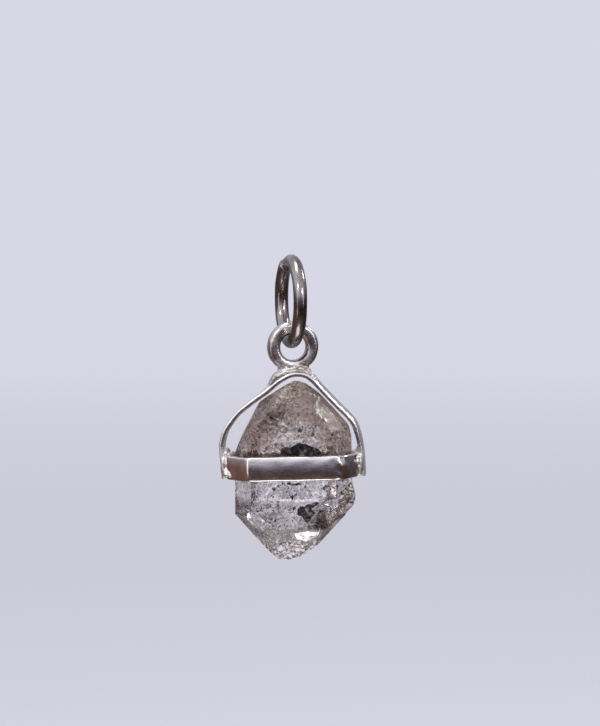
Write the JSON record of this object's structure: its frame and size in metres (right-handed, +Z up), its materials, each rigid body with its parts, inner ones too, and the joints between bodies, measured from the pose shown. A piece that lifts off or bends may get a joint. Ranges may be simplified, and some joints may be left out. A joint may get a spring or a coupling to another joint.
{
  "type": "herkimer diamond pendant",
  "caption": "Short clear quartz crystal with a point at both ends, held by a silver band and strap, hanging from an eyelet and jump ring.",
  "frame": {"origin": "inside top of the jump ring, where the chain that carries the pendant lies", "axes": "+Z up along the hanging pendant, -Y towards its front, +X to the right seen from the front"},
  "size_m": [0.011, 0.0068, 0.0229],
  "materials": {
    "quartz": "clear with a light smoky tinge, faces glossy with growth lines and pits",
    "carbon": "black carbon-like mineral, glossy in places",
    "silver_band": "polished by hand, fine scratches",
    "silver_strap": "polished by hand, rough where it is soldered",
    "silver_eyelet": "lightly tarnished, on a rough solder foot",
    "silver_wire": "drawn wire, lightly tarnished"
  },
  "bodies": {
    "jump_ring": {"jump_ring": "silver_wire"},
    "pendant": {"crystal": "quartz", "upper_inclusion": "carbon", "lower_inclusion": "carbon", "band": "silver_band", "strap": "silver_strap", "eyelet": "silver_eyelet"}
  },
  "joints": [
    {"name": "pendant_swing", "type": "hinge", "parent": "jump_ring", "child": "pendant", "pos_m": [0, 0, -0.00547], "axis": [0.309, -0.9511, 0], "range_deg": [-90, 90]}
  ]
}
